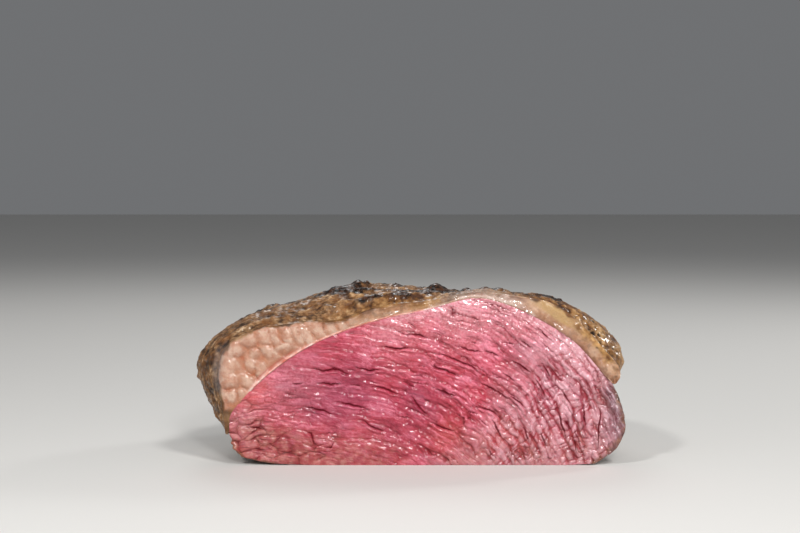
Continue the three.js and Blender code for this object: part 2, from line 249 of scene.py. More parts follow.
def corner_value(i, j, k):
    """A repeatable value from -1 to 1 for a corner of the noise lattice."""
    h = (i * np.uint32(0x8DA6B343)) ^ (j * np.uint32(0xD8163841)) ^ (k * np.uint32(0xCB1AB31F))
    h = (h ^ (h >> np.uint32(13))) * np.uint32(0x5BD1E995)
    h = h ^ (h >> np.uint32(15))
    return h / 0x7FFFFFFF - 1.0


def noise(x, y, z):
    """Smooth noise from -1 to 1, the same as that of the solids."""
    places = np.broadcast_arrays(*(np.asarray(v, float) for v in (x, y, z)))
    cells = [np.floor(v) for v in places]
    eases = [smooth(v - c, 0, 1) for v, c in zip(places, cells)]
    total = np.zeros(places[0].shape)
    for corner in range(8):
        steps = (corner & 1, (corner >> 1) & 1, corner >> 2)
        weight = np.ones(total.shape)
        for step, ease in zip(steps, eases):
            weight = weight * (ease if step else 1 - ease)
        lattice = [(c + s).astype(np.int64).astype(np.uint32) for c, s in zip(cells, steps)]
        total += weight * corner_value(*lattice)
    return total


def ripple(x, z, size, seed):
    """Noise over the plane of the cut, with waves of one size."""
    return noise(x / size, seed, z / size)


def patchy(value, least, low, high):
    """A share that rises from the least to one where a value rises from low to high."""
    return mix(least, 1, smooth(value, low, high))


def layered(p, length, layers=3):
    """Noise over points at a length and at each half of it."""
    total, height = 0.0, 1.0
    for layer in range(layers):
        scale = 2.0**layer / length
        total = total + height * noise(p[..., 0] * scale, p[..., 1] * scale + 17 * layer, p[..., 2] * scale)
        height *= 0.5
    return total


def run_lengths(line):
    """The distance along a line to each of its points."""
    return np.concatenate([[0], np.cumsum(np.linalg.norm(np.diff(line, axis=0), axis=1))])


def smooth_line(points, samples=80):
    """A centripetal curve through points, read at shares of its length."""
    p = np.array(points, float)
    p = np.vstack([2 * p[0] - p[1], p, 2 * p[-1] - p[-2]])
    t = np.linspace(0, 1, samples, endpoint=False)[:, None]
    runs = []
    for p0, p1, p2, p3 in zip(p, p[1:], p[2:], p[3:]):
        d0, d1, d2 = (math.sqrt(np.linalg.norm(b - a)) for a, b in ((p0, p1), (p1, p2), (p2, p3)))
        leave = ((p1 - p0) / d0 - (p2 - p0) / (d0 + d1) + (p2 - p1) / d1) * d1
        arrive = ((p2 - p1) / d1 - (p3 - p1) / (d1 + d2) + (p3 - p2) / d2) * d1
        cubic = 2 * p1 - 2 * p2 + leave + arrive
        square = -3 * p1 + 3 * p2 - 2 * leave - arrive
        runs.append(p1 + leave * t + square * t**2 + cubic * t**3)
    line = np.vstack(runs + [p[-2:-1]])
    lengths = run_lengths(line)
    lengths /= lengths[-1]

    def at(share):
        share = np.clip(share, 0, 1)
        return np.stack([np.interp(share, lengths, line[:, k]) for k in (0, 1)], axis=-1)

    return at


lean_bottom, lean_right = smooth_line(LEAN_BOTTOM), smooth_line(LEAN_RIGHT)
lean_top, lean_left = smooth_line(LEAN_TOP), smooth_line(LEAN_LEFT)
fat_edge, fat_behind = smooth_line(FAT_EDGE), smooth_line(FAT_BEHIND)


def swelling(depth):
    return np.sin(np.pi / 2 * np.minimum(1, depth / SWELL_DEPTH))


def taper(share, shape):
    power, sharpness = shape
    return np.maximum(0, 1 - share**power) ** sharpness


def in_section(x, z, share, reach):
    """Carries points of the section at the cut back by a share of the body's reach."""
    sink = UNDERSIDE_SINK * smooth(share * reach, 0, SWELL_DEPTH) * np.maximum(0, 1 - z / PIVOT_Z)
    x = PIVOT_X + TIP_SHIFT * share**2 + taper(share, WIDTH_TAPER) * (x - PIVOT_X)
    z = np.maximum(0, PIVOT_Z + taper(share, HEIGHT_TAPER) * (z - PIVOT_Z) - sink)
    return np.stack(np.broadcast_arrays(x, share * reach, z), axis=-1)


def lean_point(outline, share, gap=None):
    """The lean's surface, or one that keeps a gap to it, for points of its outline at the cut."""
    x, z = outline[..., 0], outline[..., 1]
    swell = swelling(share * LEAN_REACH)
    sideways = np.where(x > PIVOT_X, LEAN_SWELL["right"], LEAN_SWELL["left"])
    wider = 1 + sideways * smooth(z, *SWELL_HEIGHTS) * swell
    higher = 1 + np.where(z > PIVOT_Z, LEAN_SWELL["up"], 0) * swell
    gap = np.zeros(outline.shape) if gap is None else gap
    x = PIVOT_X + wider * (x - PIVOT_X) + gap[..., 0]
    z = PIVOT_Z + higher * (z - PIVOT_Z) + gap[..., 1]
    return in_section(x, z, share, LEAN_REACH + np.linalg.norm(gap, axis=-1))


def unit(v):
    return v / np.maximum(np.linalg.norm(v, axis=-1, keepdims=True), 1e-9)


def along(line, share):
    return unit(line(np.minimum(1, share + LINE_STEP)) - line(np.maximum(0, share - LINE_STEP)))


def outward(line, share):
    ahead = along(line, share)
    return np.stack([-ahead[..., 1], ahead[..., 0]], axis=-1)


def from_pivot(outline):
    return unit(outline - np.array([PIVOT_X, PIVOT_Z]))


def in_space(v):
    """A place or direction in the plane of the cut as one in space."""
    return np.stack([v[..., 0], np.zeros(v.shape[:-1]), v[..., 1]], axis=-1)


def lump_height(p):
    total = 0.0
    for height, length in CRUST_LUMPS:
        total = total + height * (0.5 + 0.5 * noise(*(p[..., k] / length for k in range(3))))
    return total


def flake_height(p):
    total = 0.0
    for x, depth, length, width, height in FLAKES:
        away = ((p[..., 0] - x) / length) ** 2 + ((p[..., 1] - depth) / width) ** 2
        total = total + height * np.exp(-FLAKE_STEEPNESS * away)
    return total * smooth(p[..., 2], PIVOT_Z, 2 * PIVOT_Z)


def fat_outside(around, share):
    """The outer surface of the fat cap, with the crust's larger relief."""
    reach = LEAN_REACH + FAT_AT_TIP
    swell = swelling(share * reach)[..., None]
    outline = mix(fat_edge(around), fat_behind(around), swell)
    p = in_section(outline[..., 0], outline[..., 1], share, reach)
    tip = smooth(share, CRUST_TURNS, 1)[..., None]
    direction = unit(mix(in_space(outward(fat_behind, around)), np.array([0.0, 1.0, 0.0]), tip))
    fade = smooth(p[..., 1], 0, CRUST_STARTS) * smooth(from_ends(around), 0, CRUST_LIP_FADE)
    return p + direction * ((lump_height(p) + flake_height(p)) * fade)[..., None]


def lobe_height(p):
    lobe = 0.5 + 0.5 * noise(p[..., 0] / LOBES["length"], LOBES["layer"], p[..., 2] / LOBES["length"])
    share = smooth(p[..., 0], LOBES["full_at"], LOBES["least_at"])
    return LOBES["height"] * lobe * mix(1, LOBES["least"], share)


def bundle_height(p):
    dip = np.maximum(0, p[..., 0] - BUNDLES["dip_from"]) ** 2 / (2 * BUNDLES["dip_radius"])
    across = (p[..., 2] + dip) / BUNDLES["width"]
    return BUNDLES["height"] * noise(p[..., 0] / BUNDLES["length"], BUNDLES["layer"], across)


def row_share(row, rows):
    even = row / rows
    return mix(even, smooth(even, 0, 1), ROW_CROWDING)


def draw(i, j, seed):
    """A repeatable value from -1 to 1 for each pair of whole numbers."""
    i, j = (np.asarray(v).astype(np.int64).astype(np.uint32) for v in (i, j))
    return corner_value(i, j, np.full(1, seed, np.uint32))


def keep_nearer(kept, away, *own):
    """Updates the nearest and the second distance, and the values that belong to the nearest."""
    nearest, second, *values = kept
    nearer = away < nearest
    values = [np.where(nearer, new, old) for new, old in zip(own, values)]
    second = np.where(nearer, nearest, np.minimum(second, away))
    return [np.minimum(nearest, away), second, *values]


def cells(a, b, size, seed):
    """Scattered cells of a size: depth inside the border, the cell's own value, and the place across it."""
    a, b = a / size[0], b / size[1]
    i, j = np.floor(a), np.floor(b)
    kept = [np.full(a.shape, value) for value in (FAR, FAR, 0.0, 0.0)]
    for step_i in (-1, 0, 1):
        for step_j in (-1, 0, 1):
            cell = i + step_i, j + step_j
            away_a = a - (cell[0] + 0.5 + CELL_SCATTER * draw(*cell, seed))
            away_b = b - (cell[1] + 0.5 + CELL_SCATTER * draw(*cell, seed + 1))
            kept = keep_nearer(kept, np.hypot(away_a, away_b), draw(*cell, seed + 2), away_b)
    nearest, second, value, across = kept
    return second - nearest, value, across


def columns(along, across, seed):
    """Columns of nodules along the grain: depth inside their sides and ends, own value, and place across."""
    column = np.floor(across)
    along = along + COLUMN_SHIFT * draw(column, 0 * column, seed)
    nodule = np.floor(along)
    from_side, from_end = across - column, along - nodule
    side = 2 * from_ends(from_side)
    end = 2 * from_ends(from_end)
    return side, end, draw(nodule, column, seed + 1), from_side - 0.5


def pillow(gap, reach=0.6):
    """A rounded profile, steep at a border between cells and level inside them."""
    inward = np.clip(gap / reach, 0, 1)
    return np.sqrt(inward * (2 - inward))


def read(field, x, z, step):
    """A field's value between its points, which cover the plane of the cut."""
    rows, columns = field.shape
    i = np.clip((x - LEFT) / step, 0, columns - 1.001)
    j = np.clip((z - BOTTOM) / step, 0, rows - 1.001)
    i0, j0 = i.astype(int), j.astype(int)
    low = mix(field[j0, i0], field[j0, i0 + 1], i - i0)
    high = mix(field[j0 + 1, i0], field[j0 + 1, i0 + 1], i - i0)
    return mix(low, high, j - j0)


def follow(slope_x, slope_z):
    """The field whose slopes come closest to the given ones, by conjugate gradients."""

    def gather(step_x, step_z):
        total = np.zeros(slope_x.shape)
        total[:, 1:] += step_x
        total[:, :-1] -= step_x
        total[1:] += step_z
        total[:-1] -= step_z
        return total

    left = gather(slope_x[:, 1:] * GRAIN_STEP, slope_z[1:] * GRAIN_STEP)
    field, heading = np.zeros(left.shape), left.copy()
    for _ in range(GRAIN_ROUNDS):
        change = gather(np.diff(heading, axis=1), np.diff(heading, axis=0))
        stride = np.sum(left**2) / np.sum(heading * change)
        field += stride * heading
        rest = left - stride * change
        heading = rest + heading * np.sum(rest**2) / np.sum(left**2)
        left = rest
    return field


def solve_grain():
    """The grain's angle, and distances along and across it."""
    x, z = np.meshgrid(np.arange(LEFT, RIGHT, GRAIN_STEP), np.arange(BOTTOM, TOP, GRAIN_STEP))
    angle, weights = 0.0, 0.0
    for grain_x, grain_z, degrees in GRAIN:
        weight = 1 / ((x - grain_x) ** 2 + (z - grain_z) ** 2 + GRAIN_BLUR**2) ** 1.5
        angle = angle + weight * math.radians(degrees)
        weights = weights + weight
    angle = angle / weights
    return angle, follow(np.cos(angle), -np.sin(angle)), follow(np.sin(angle), np.cos(angle))


GRAIN_ANGLE, ALONG, ACROSS = solve_grain()


def press(field, line, width, depth, wobble, seed):
    """Presses a line of points into a raster, widest and deepest at its middle."""
    line = np.array(line, float)
    lengths = run_lengths(line)
    share = np.linspace(0, 1, int(lengths[-1] / RASTER) + 2)
    x, z = (np.interp(share * lengths[-1], lengths, line[:, k]) for k in (0, 1))
    (long, full), (short, part) = WOBBLES
    x = x + full * wobble * ripple(x, z, long, seed)
    z = z + full * wobble * ripple(x, z, long, seed + 50) + part * wobble * ripple(x, z, short, seed + 90)
    closing = 1 - (2 * share - 1) ** 2
    rows, columns = field.shape
    for px, pz, close in zip(x, z, closing):
        wide = width * mix(CRACK_END, 1, close)
        half = int(2.4 * wide / RASTER) + 1
        i, j = int((px - LEFT) / RASTER), int((pz - BOTTOM) / RASTER)
        if not (half <= i < columns - half and half <= j < rows - half):
            continue
        spot = (slice(j - half, j + half + 1), slice(i - half, i + half + 1))
        away_x = LEFT + RASTER * np.arange(i - half, i + half + 1)[None] - px
        away_z = BOTTOM + RASTER * np.arange(j - half, j + half + 1)[:, None] - pz
        mark = depth * close**0.9 * np.exp(-(away_x**2 + away_z**2) / wide**2)
        field[spot] = np.maximum(field[spot], mark)


def trace(rng, x, z, length, turn):
    """A line that follows the grain, or crosses it, from a point to both sides."""
    ends = []
    for sign in (1, -1):
        px, pz, run = x, z, []
        for _ in range(int(length / 2)):
            angle = float(read(GRAIN_ANGLE, np.array(px), np.array(pz), GRAIN_STEP)) + turn
            angle += rng.normal(0, TRACE_WANDER)
            px, pz = px + sign * math.cos(angle), pz - sign * math.sin(angle)
            run.append((px, pz))
        ends.append(run)
    return ends[1][::-1] + [(x, z)] + ends[0]


def crack_raster():
    """The depth of the cracks over the plane of the cut."""
    rng = np.random.default_rng(CRACK_SEED)
    field = np.zeros((int((TOP - BOTTOM) / RASTER), int((RIGHT - LEFT) / RASTER)))
    for number, places in enumerate(CRACK_LINES):
        line = np.reshape(places, (-1, 2))
        size = patchy(run_lengths(line)[-1], SHORT_CRACK, *SHORT_AND_LONG)
        press(field, line, CRACK_SIZE[0] * size, CRACK_SIZE[1] * size, 0.4, number)
    for number, x_range, z_range, lengths, widths, depths, turn in SMALL_CRACKS:
        for _ in range(number):
            x, z = rng.uniform(*x_range), rng.uniform(*z_range)
            line = trace(rng, x, z, rng.uniform(*lengths) + 1, math.radians(turn))
            press(field, line, rng.uniform(*widths), rng.uniform(*depths), 0.3, rng.uniform(0, 99))
    return field


CRACKS = crack_raster()


def spots(x, z, places):
    """Soft round patches, given as x, z, radius and strength."""
    total = 0.0
    for spot_x, spot_z, radius, strength in places:
        total = total + strength * np.exp(-((x - spot_x) ** 2 + (z - spot_z) ** 2) / radius**2)
    return np.clip(total, 0, 1)


def fat_lobes(x, z):
    """Height of the soft lobes of the cut fat, from nought in the creases to about one."""
    x = x + 0.9 * noise(x / 4, 81, z / 4) + 0.35 * noise(x / 1.6, 83, z / 1.6)
    z = z + 0.9 * noise(x / 4, 85, z / 4) + 0.35 * noise(x / 1.6, 87, z / 1.6)
    kept = [np.full(x.shape, value) for value in (FAR, FAR, 0.0)]
    for lobe_x, lobe_z, length, width, degrees in FAT_LOBES:
        cosine, sine = math.cos(math.radians(degrees)), math.sin(math.radians(degrees))
        lengthwise = ((x - lobe_x) * cosine + (z - lobe_z) * sine) / length
        sideways = ((z - lobe_z) * cosine - (x - lobe_x) * sine) / width
        kept = keep_nearer(kept, np.hypot(lengthwise, sideways), sideways)
    nearest, second, place = kept
    shown = mix(0.08, 0.7, smooth(noise(x / 5, 79, z / 5), -0.2, 0.6))
    crease = shown * (1 - pillow(second - nearest, 1.0))
    return (1 - crease) * (0.9 + 0.2 * np.clip(place, -1, 1)) - 0.25 * np.clip(nearest, 0, 1) ** 2


class Surface:
    """Collects vertices with their attributes, and faces, for one closed mesh."""

    def __init__(self, names):
        self.points, self.faces, self.count = [], [], 0
        self.names = names
        self.values = {name: [] for name in names}

    def add(self, points, **values):
        """Adds an array of points and gives back their numbers in its shape."""
        shape = points.shape[:-1]
        number = int(np.prod(shape))
        self.points.append(points.reshape(-1, 3))
        for name in self.names:
            value = np.broadcast_to(values.get(name, 0.0), shape)
            self.values[name].append(value.reshape(-1))
        ids = np.arange(self.count, self.count + number).reshape(shape)
        self.count += number
        return ids

    def quads(self, ids, flip=False):
        """Faces between the rows of a grid of vertex numbers."""
        a, b, c, d = ids[:-1, :-1], ids[:-1, 1:], ids[1:, 1:], ids[1:, :-1]
        corners = np.stack([a, d, c, b] if flip else [a, b, c, d], axis=-1).reshape(-1, 4)
        self.faces.extend(corners.tolist())

    def strip(self, first, second):
        """Triangles between two lines of vertices with different numbers of points."""
        i, j, m, n = 0, 0, len(first) - 1, len(second) - 1
        while i < m or j < n:
            if j == n or (i < m and (i + 1) * n <= (j + 1) * m):
                self.faces.append([int(first[i]), int(first[i + 1]), int(second[j])])
                i += 1
            else:
                self.faces.append([int(first[i]), int(second[j + 1]), int(second[j])])
                j += 1

    def build(self, name):
        points = np.vstack(self.points)
        points = (points - np.array([BOX_CENTRE_X, BOX_CENTRE_Y, 0.0])) * MM
        faces = []
        for face in self.faces:
            corners = list(dict.fromkeys(face))
            if len(corners) > 2:
                faces.append(corners)
        mesh = bpy.data.meshes.new(name)
        mesh.from_pydata(points.tolist(), [], faces)
        for attribute, parts in self.values.items():
            layer = mesh.attributes.new(attribute, "FLOAT", "POINT")
            layer.data.foreach_set("value", np.concatenate(parts).astype(np.float32))
        mesh.shade_smooth()
        mesh.validate()
        piece = bpy.data.objects.new(name, mesh)
        bpy.context.scene.collection.objects.link(piece)
        return piece


def cut_grid(across, up):
    """Points of the cut face, blended from its four edges, and their shares u and v."""
    u, v = np.meshgrid(np.linspace(0, 1, across + 1), np.linspace(0, 1, up + 1))
    level = mix(lean_bottom(u), lean_top(u), v[..., None])
    upright = mix(lean_left(v), lean_right(v), u[..., None])
    left = mix(lean_bottom(0 * u), lean_top(0 * u), v[..., None])
    right = mix(lean_bottom(0 * u + 1), lean_top(0 * u + 1), v[..., None])
    outline = level + upright - mix(left, right, u[..., None])
    return outline, u, v


def ring_of(ids):
    """The border of a grid in order: bottom, right, top and left, back to the start."""
    return np.concatenate([ids[0, :-1], ids[:-1, -1], ids[-1, :0:-1], ids[:0:-1, 0], ids[0, :1]])


def lean_zones(x, z):
    """How coarse the cut is, from left to right, how knotty, lower right, and how crumbly, lower left."""
    coarse = smooth(x, -40, 30)
    knotty = smooth(x + 0.7 * (24 - z) + 6 * ripple(x, z, 11, 3), 22, 50)
    crumbly = smooth(-x - 1.3 * z + 7 * ripple(x, z, 7, 5), 16, 40)
    return coarse, knotty, crumbly


def lean_bundles(x, z, along, across):
    """Bundles of fibres, with creases between them that come and go, but hardly any across the grain."""
    gap, own, place = cells(along, across, BUNDLE_CELL, 51)
    shown = patchy(ripple(x, z, 7, 41) + 0.6 * ripple(x, z, 3, 43), 0.3, -0.4, 0.4)
    lengthwise = patchy(np.abs(place), 0.05, 0.2, 0.45)
    return 1 - (1 - pillow(gap, 0.45)) * shown * lengthwise, own, place


def lean_strands(x, z, along, across, coarse):
    gap, own, place = cells(along, across, STRAND_CELL, 53)
    shown = patchy(ripple(x, z, 6, 45) + 0.6 * ripple(x, z, 2.4, 47), 0.1, -0.4, 0.5)
    return 1 - (1 - pillow(gap, 0.5)) * shown * mix(0.55, 1, coarse), own, place


def lean_nodules(x, z, along, across, shown):
    along = along / NODULE_CELL[0] + 0.5 * ripple(x, z, 3, 49)
    across = (across + 0.5 * ripple(x, z, 2.6, 75)) / NODULE_CELL[1]
    side, end, own, place = columns(along, across, 57)
    nodule = (1 - (1 - pillow(side, 1.0)) * shown) * mix(1 - 0.62 * shown, 1, pillow(end, 1.0)) + 0.1 * own
    return nodule, own, place


def lean_crumbs(x, z, shown):
    gap, own, place = cells(x, z, CRUMB_CELL, 59)
    return 1 - (1 - pillow(gap, 0.6)) * shown, own, place


def lean_relief(x, z):
    """Height of the cut lean towards the front, and the fields that colour it."""
    coarse, knotty, crumbly = lean_zones(x, z)
    wander, warp, fray = (ripple(x, z, size, 21) for size in (13, 5, 1.9))
    along, across = (read(field, x, z, GRAIN_STEP) for field in (ALONG, ACROSS))
    along = along + 2.0 * warp + 0.8 * fray
    across = across + mix(0.7, 1.4, coarse) * wander + mix(0.4, 0.8, coarse) * warp + 0.3 * fray
    bundle, bundle_own, bundle_place = lean_bundles(x, z, along, across)
    shown = patchy(ripple(x, z, 5, 55), 0.3, -0.4, 0.3)
    strands = lean_strands(x, z, along, across, coarse)
    nodules = lean_nodules(x, z, along, across, shown)
    crumbs = lean_crumbs(x + 2 * warp + 0.5 * fray, z + 1.5 * warp + 0.4 * fray, shown)
    kinds = zip(strands, nodules, crumbs)
    strand, own, place = (mix(mix(a, b, knotty), c, crumbly) for a, b, c in kinds)
    bundle_size = mix(0.35, 1.0, coarse) * (1 - 0.5 * knotty)
    strand_size = mix(mix(mix(0.3, 0.8, np.maximum(coarse, crumbly)), 1.15, knotty), 1.2, crumbly)
    fine_size = mix(mix(0.4, 1.1, coarse), 0.5, crumbly)
    crack = read(CRACKS, x, z, RASTER)
    lifted = read(CRACKS, x + CRACK_LIP[0], z + CRACK_LIP[1], RASTER)
    pebble = ripple(x, z, 1.5, 63)
    height = bundle_size * (bundle - 0.8) + strand_size * (strand - 0.8) + 0.6 * strand_size * own * place
    height += bundle_size * (0.3 * bundle_own * bundle_place + 0.15 * bundle_own)
    height += fine_size * (0.22 * pebble + 0.1 * ripple(x, z, 0.8, 65)) + 0.55 * lifted - 0.85 * crack
    height += SHRED_HEIGHT * spots(x, z, [SHRED])
    # Painted shade: darker colour in the creases between bundles and between crumbs, carried with the cracks
    # in the crack field.
    bundle_crease_shade = 0.85 * (1 - bundle) * mix(0.3, 1, coarse) * (1 - 0.7 * knotty) * (1 - crumbly)
    crumb_crease_shade = 0.6 * (1 - crumbs[0]) * crumbly
    fields = {
        "along": along,
        "across": across,
        "crack": np.maximum.reduce([crack, bundle_crease_shade, crumb_crease_shade]),
        # The swell field sets the colour by height: painted shade in the hollows and a painted highlight on
        # the tops.
        "swell": 0.4 * bundle + 0.6 * mix(strand, strand**2, np.maximum(knotty, crumbly)) + 0.12 * pebble,
        "cobble": knotty,
        # The place term makes each strand lighter on its upper side and darker on its lower side, a painted
        # highlight and painted shade, on top of the cells' own tones.
        "tone": 0.5 * own + 0.5 * bundle_own + mix(0.5, 0.9, np.maximum(coarse, crumbly)) * place,
    }
    fields.update({name: spots(x, z, places) for name, places in PATCHES.items()})
    return height, fields


def faded_edge(outline):
    """How pale the lean is along its upper edge, except at its right end."""
    x = outline[..., 0]
    below = np.linalg.norm(outline[-1:] - outline, axis=-1)
    faded = np.exp(-below / 5) * smooth(x, 34, 60) + 0.8 * np.exp(-below / 2.5) * smooth(x, -16, 4)
    return faded * fading(x, 74, 80)


def browned_rims(x, z, u, v):
    """Where the cut is browned at its right, left and lower left edge."""
    ragged = 0.5 * ripple(x, z, 2.2, 71)
    right = fading((1 - u) * CAD_ACROSS + ragged, 0, 1.6) * fading(v, 0.86, 1)
    left = fading(u * CAD_ACROSS + ragged, 0, 0.9) * fading(v, 0.8, 1)
    bottom = fading(v * CAD_UP + ragged, 0, 0.7) * fading(x, -58, -44)
    return np.clip(0.8 * right + 0.7 * left + 0.8 * bottom, 0, 1)


def add_cut_face(surface):
    outline, u, v = cut_grid(CUT_ACROSS, CUT_UP)
    x, z = outline[..., 0], outline[..., 1]
    from_side = from_ends(u) * CAD_ACROSS
    from_edge = np.minimum(from_side, from_ends(v) * CAD_UP)
    p = in_space(outline)
    height, fields = lean_relief(x, z)
    p[..., 1] -= bundle_height(p) * smooth(from_edge, 0, CAD_EDGE_STEPS)
    p[..., 1] -= height * patchy(from_edge, 0.4, 0, 0.8)
    fields["pale"] = np.clip(fields["pale"] + faded_edge(outline), 0, 1)
    near_side = fading(from_side, 0, 2.5) * smooth(from_ends(v), 0, 0.1)
    ragged = 0.7 * noise(x / 9, 39, z / 2.6) + 0.4 * noise(x / 9, 37, z / 1.1)
    p[..., 0] += near_side * mix(1, 0.4, u) * ragged
    p[..., 2] = np.maximum(0, p[..., 2])
    cut = surface.add(p, brown=browned_rims(x, z, u, v), **fields)
    surface.quads(cut)
    return cut


def add_lean_sides(surface):
    """The browned sides and the underside, as rings from behind the cut to the tip."""
    outline, u, v = cut_grid(SIDE_ACROSS, SIDE_UP)
    ring = ring_of(np.arange(u.size).reshape(u.shape))[:-1]
    outline, u, v = outline.reshape(-1, 2)[ring], u.reshape(-1)[ring], v.reshape(-1)[ring]
    bare = np.where((u == 0) | (u == 1), np.sin(np.pi * v), 0)
    p = lean_point(outline[None], row_share(np.arange(1, SIDE_ROWS), SIDE_ROWS)[:, None])
    x, depth, z = (p[..., k] for k in range(3))
    lumps = lump_height(p) * smooth(depth, 0, CRUST_STARTS)
    folds = 0.8 * noise(depth / 2.6, x / 30, z / 14)
    crags = (0.5 * layered(p, 3.2) + folds) * smooth(depth, 0, 2)
    p = p - in_space(from_pivot(outline))[None] * ((lumps + 0.3 + crags) * bare)[..., None]
    p[..., 2] = np.maximum(0, p[..., 2])
    rows = surface.add(p, brown=smooth(depth, -1.0, 1.0), swell=0.5 + 0.4 * layered(p, 4.0))
    rows = np.concatenate([rows, rows[:, :1]], axis=1)
    surface.quads(rows, flip=True)
    return rows


def make_lean():
    surface = Surface(LEAN_FIELDS)
    cut = add_cut_face(surface)
    rows = add_lean_sides(surface)
    surface.strip(rows[0], ring_of(cut))
    tip = surface.add(lean_point(lean_top(np.zeros(1)), 1.0), brown=1.0, swell=0.5)
    surface.quads(np.stack([rows[-1], np.repeat(tip, rows.shape[1])]), flip=True)
    return surface.build("lean_meat")


def edge_drop(around):
    """How far behind the cut the crust starts, which is nothing at the rounded end on the right."""
    return 0.8 * fading(around, *NO_DROP)


def bare_end(around, depth):
    """One where fat shows round the end on the right instead of crust."""
    ragged = 0.012 * noise(LIP_WAVES * around, 7, depth / 3)
    return smooth(around + ragged, *BARE_END) * fading(depth, 3, 10)


def fat_front_form(around, through):
    """Points of the cut fat before its relief, and its thickness there."""
    inside = lean_point(lean_top(around), 0 * around, -FRONT_OVERLAP * outward(lean_top, around))
    outside = fat_outside(around, 0 * around)
    thick = np.linalg.norm(outside - inside, axis=-1)
    end = np.where(around < 0.5, -1, 1) * fading(from_ends(around) * FAT_AROUND, 0, 6)
    p = mix(inside, outside, through[..., None])
    p += in_space(along(lean_top, around)) * (LIP_ROUNDING * np.sin(np.pi * through) * thick * end)[..., None]
    return p, thick


def silverskin(x, z, from_seam):
    """The light line beside the seam on the left, and the fold above it."""
    width = mix(0.65, 0.4, smooth(x, -58, -40)) + 0.12 * ripple(x, z, 4, 67)
    skin = bell((from_seam - 0.55) / width) * fading(x, 6, 16) * smooth(x, -66, -60)
    fold = bell((from_seam - 1.8) / 0.6) * fading(x, -50, -40) * smooth(x, -64, -58)
    return skin, fold


def front_crust(x, z, from_crust, thin_middle, near_end):
    """Where the crust shows along the edge of the cut, which is furthest in the middle and near the end."""
    ragged = 0.9 * noise(x / 3, 85, z / 2) + 0.4 * noise(x, 87, z)
    ragged += thin_middle * (1.6 * noise(x / 4.5, 97, z / 3) + 0.6 * ripple(x, z, 1.6, 98))
    low, high = mix(0.2, 0.6, thin_middle), mix(1.2, 5.2, thin_middle)
    return fading(from_crust + ragged, mix(low, 1.4, near_end), mix(high, 3.8, near_end))


def fat_front(surface):
    """The cut face of the fat, from its seam with the lean out to the crust: vertex numbers and points."""
    around, through = np.meshgrid(np.linspace(0, 1, FAT_AROUND + 1), np.linspace(0, 1, FAT_THROUGH + 1))
    p, thick = fat_front_form(around, through)
    x, z = p[..., 0], p[..., 2]
    from_seam, from_crust = through * thick, (1 - through) * thick
    left, near_end = fading(x, -38, -6), smooth(around, *NEAR_END)
    thin_middle = smooth(x, -40, -28) * fading(x, 8, 20)
    low_end = fading(z, 20.5, 23) * fading(x, -60, -50)
    skin, fold = silverskin(x, z, from_seam)
    cloudy = spots(x, z, CLOUDY_FRONT)
    lobe, lumps = fat_lobes(x, z), 0.8 * ripple(x, z, 6, 89)
    soft = smooth(np.minimum(from_seam, from_crust), 0, 2.2)
    draped = noise((x + 0.35 * z) / 1.3, 61, z / 7)
    height = (lobe_height(p) - 1.0) * np.sin(np.pi * through)
    height += mix(lumps, 1.7 * lobe - 1.1 + 0.3 * lumps, left) * soft
    height += (0.14 * draped * left + 0.1 * layered(p, 1.8)) * soft + 0.25 * skin - 0.4 * fold
    height += 0.5 * cloudy * soft * layered(p, 2.6)
    p[..., 1] -= height - edge_drop(around) * (1 - np.sqrt(np.clip(from_crust / 1.6, 0, 1)))
    crust = front_crust(x, z, from_crust, thin_middle, near_end)
    gap, pit, _ = cells(x, z, FRONT_PIT, 99)
    pit = smooth(pit, 0.2, 0.5) * smooth(gap, 0.2, 0.6) * near_end * crust
    p[..., 1] -= near_end * crust * (0.5 * layered(p, 2.2) - 0.6 * pit)
    yellow = smooth(x, 42, 52) * smooth(through + 0.1 * ripple(x, z, 4, 57), 0.35, 0.6)
    # A grey band on the fat beside the crust, on the left: partly a wet grey band, partly painted shade in
    # the crevice between them.
    grey = np.exp(-from_crust / 1.4) * fading(x, -74, -66) * smooth(z, 25, 30)
    ids = surface.add(
        p,
        crust=np.maximum(low_end, crust) * (1 - bare_end(around, 0 * around)),
        streak=0.45 + 0.3 * layered(p, 4.0) + 0.3 * near_end,
        streaky=1 - near_end,
        gold=np.maximum(thin_middle, near_end),
        # A painted shadow on the fat along its seam with the lean, on the right.
        seam=np.exp(-from_seam / 1.6) * smooth(x, 20, 32),
        yellow=yellow * fading(x, 58, 70),
        grey=grey * fading(z, 44, 49),
        pit=pit, lobe=lobe, fold=fold, skin=skin, left=left, cloudy=cloudy,
    )
    return ids, p


def char_share(p):
    """Where the crust is charred: in patches, on its flakes, and here and there behind them."""
    x, depth, z = (p[..., k] for k in range(3))
    ragged = 0.5 * layered(p + 9, 4.0)
    patches = 0.0
    for patch_x, patch_depth, length, width in CHAR_PATCHES:
        patches = patches + np.exp(-(((x - patch_x) / length) ** 2) - ((depth - patch_depth) / width) ** 2)
    char = np.maximum(smooth(patches + 0.7 * ragged, 0.3, 0.6), smooth(flake_height(p) + ragged, 0.7, 1.1))
    behind = smooth(layered(p + 40, 14.0) + ragged, 0.45, 0.9) * smooth(depth, 30, 60)
    return np.maximum(char, behind) * smooth(z, 34, 50)


